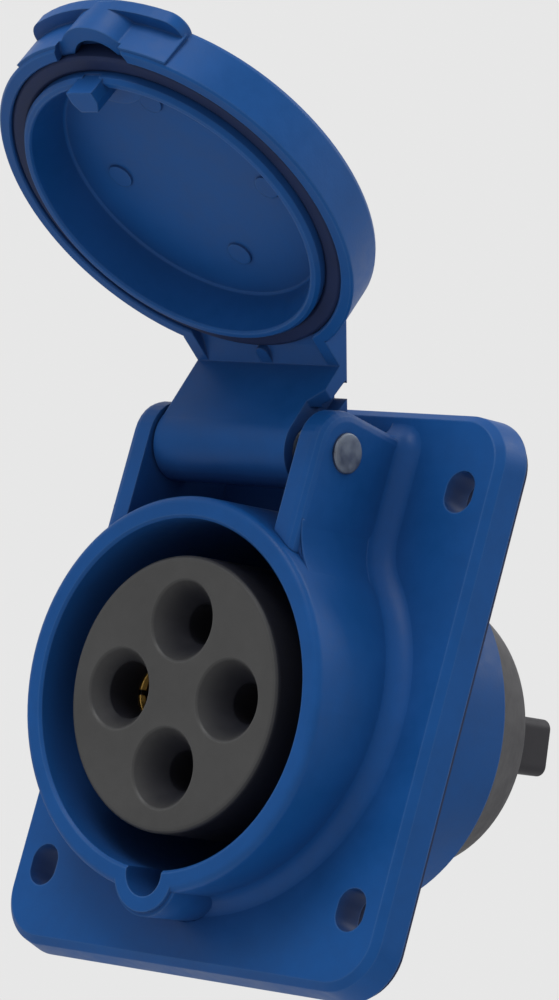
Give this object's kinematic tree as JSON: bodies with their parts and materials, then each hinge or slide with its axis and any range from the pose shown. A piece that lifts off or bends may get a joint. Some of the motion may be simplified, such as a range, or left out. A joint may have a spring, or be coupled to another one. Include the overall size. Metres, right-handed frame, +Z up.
{
  "type": "angled industrial panel socket",
  "caption": "Angled industrial panel socket: square-cornered flange, round tilted shroud with funnel contacts in a dark insert, and a round hinged lid standing open.",
  "frame": {"origin": "centre of the four fixing slots, on the panel's face at the back of the gasket", "axes": "+X to the right seen from the front, +Y backwards through the panel, +Z up to the hinge; the plug's axis comes out of the shroud towards -Y, 11 degrees below it"},
  "size_m": [0.0734, 0.1226, 0.1211],
  "materials": {
    "body_plastic": "moulded polyamide, semi-gloss blue",
    "lid_plastic": "moulded polyamide, semi-gloss blue, a little lighter",
    "carrier_plastic": "matt dark grey thermoset",
    "block_plastic": "matt dark grey thermoset",
    "seal_rubber": "black elastomer",
    "contact_brass": "turned brass",
    "pin_steel": "plain steel, lightly rolled head",
    "spring_steel": "drawn spring steel",
    "screw_steel": "zinc plated steel"
  },
  "bodies": {
    "base": {"housing": "body_plastic", "flange": "body_plastic", "ear_left": "body_plastic", "ear_right": "body_plastic", "hinge_pin": "pin_steel", "lid_spring": "spring_steel", "panel_gasket": "seal_rubber", "carrier_seal": "seal_rubber", "carrier_flange": "carrier_plastic", "contact_carrier": "carrier_plastic", "terminal_block": "block_plastic", "contact_l1": "contact_brass", "contact_l2": "contact_brass", "contact_l3": "contact_brass", "contact_pe": "contact_brass", "spring_ring_l1": "spring_steel", "spring_ring_l2": "spring_steel", "spring_ring_l3": "spring_steel", "spring_ring_pe": "spring_steel", "terminal_screw_l1": "screw_steel", "terminal_screw_l2": "screw_steel", "terminal_screw_l3": "screw_steel", "terminal_screw_pe": "screw_steel", "carrier_screw_1": "screw_steel", "carrier_screw_2": "screw_steel"},
    "lid": {"lid": "lid_plastic", "lid_gasket": "seal_rubber"}
  },
  "joints": [
    {"name": "lid_hinge", "type": "hinge", "parent": "base", "child": "lid", "pos_m": [0, -0.01846, 0.03141], "axis": [1, 0, 0], "range_deg": [0, 128]}
  ]
}
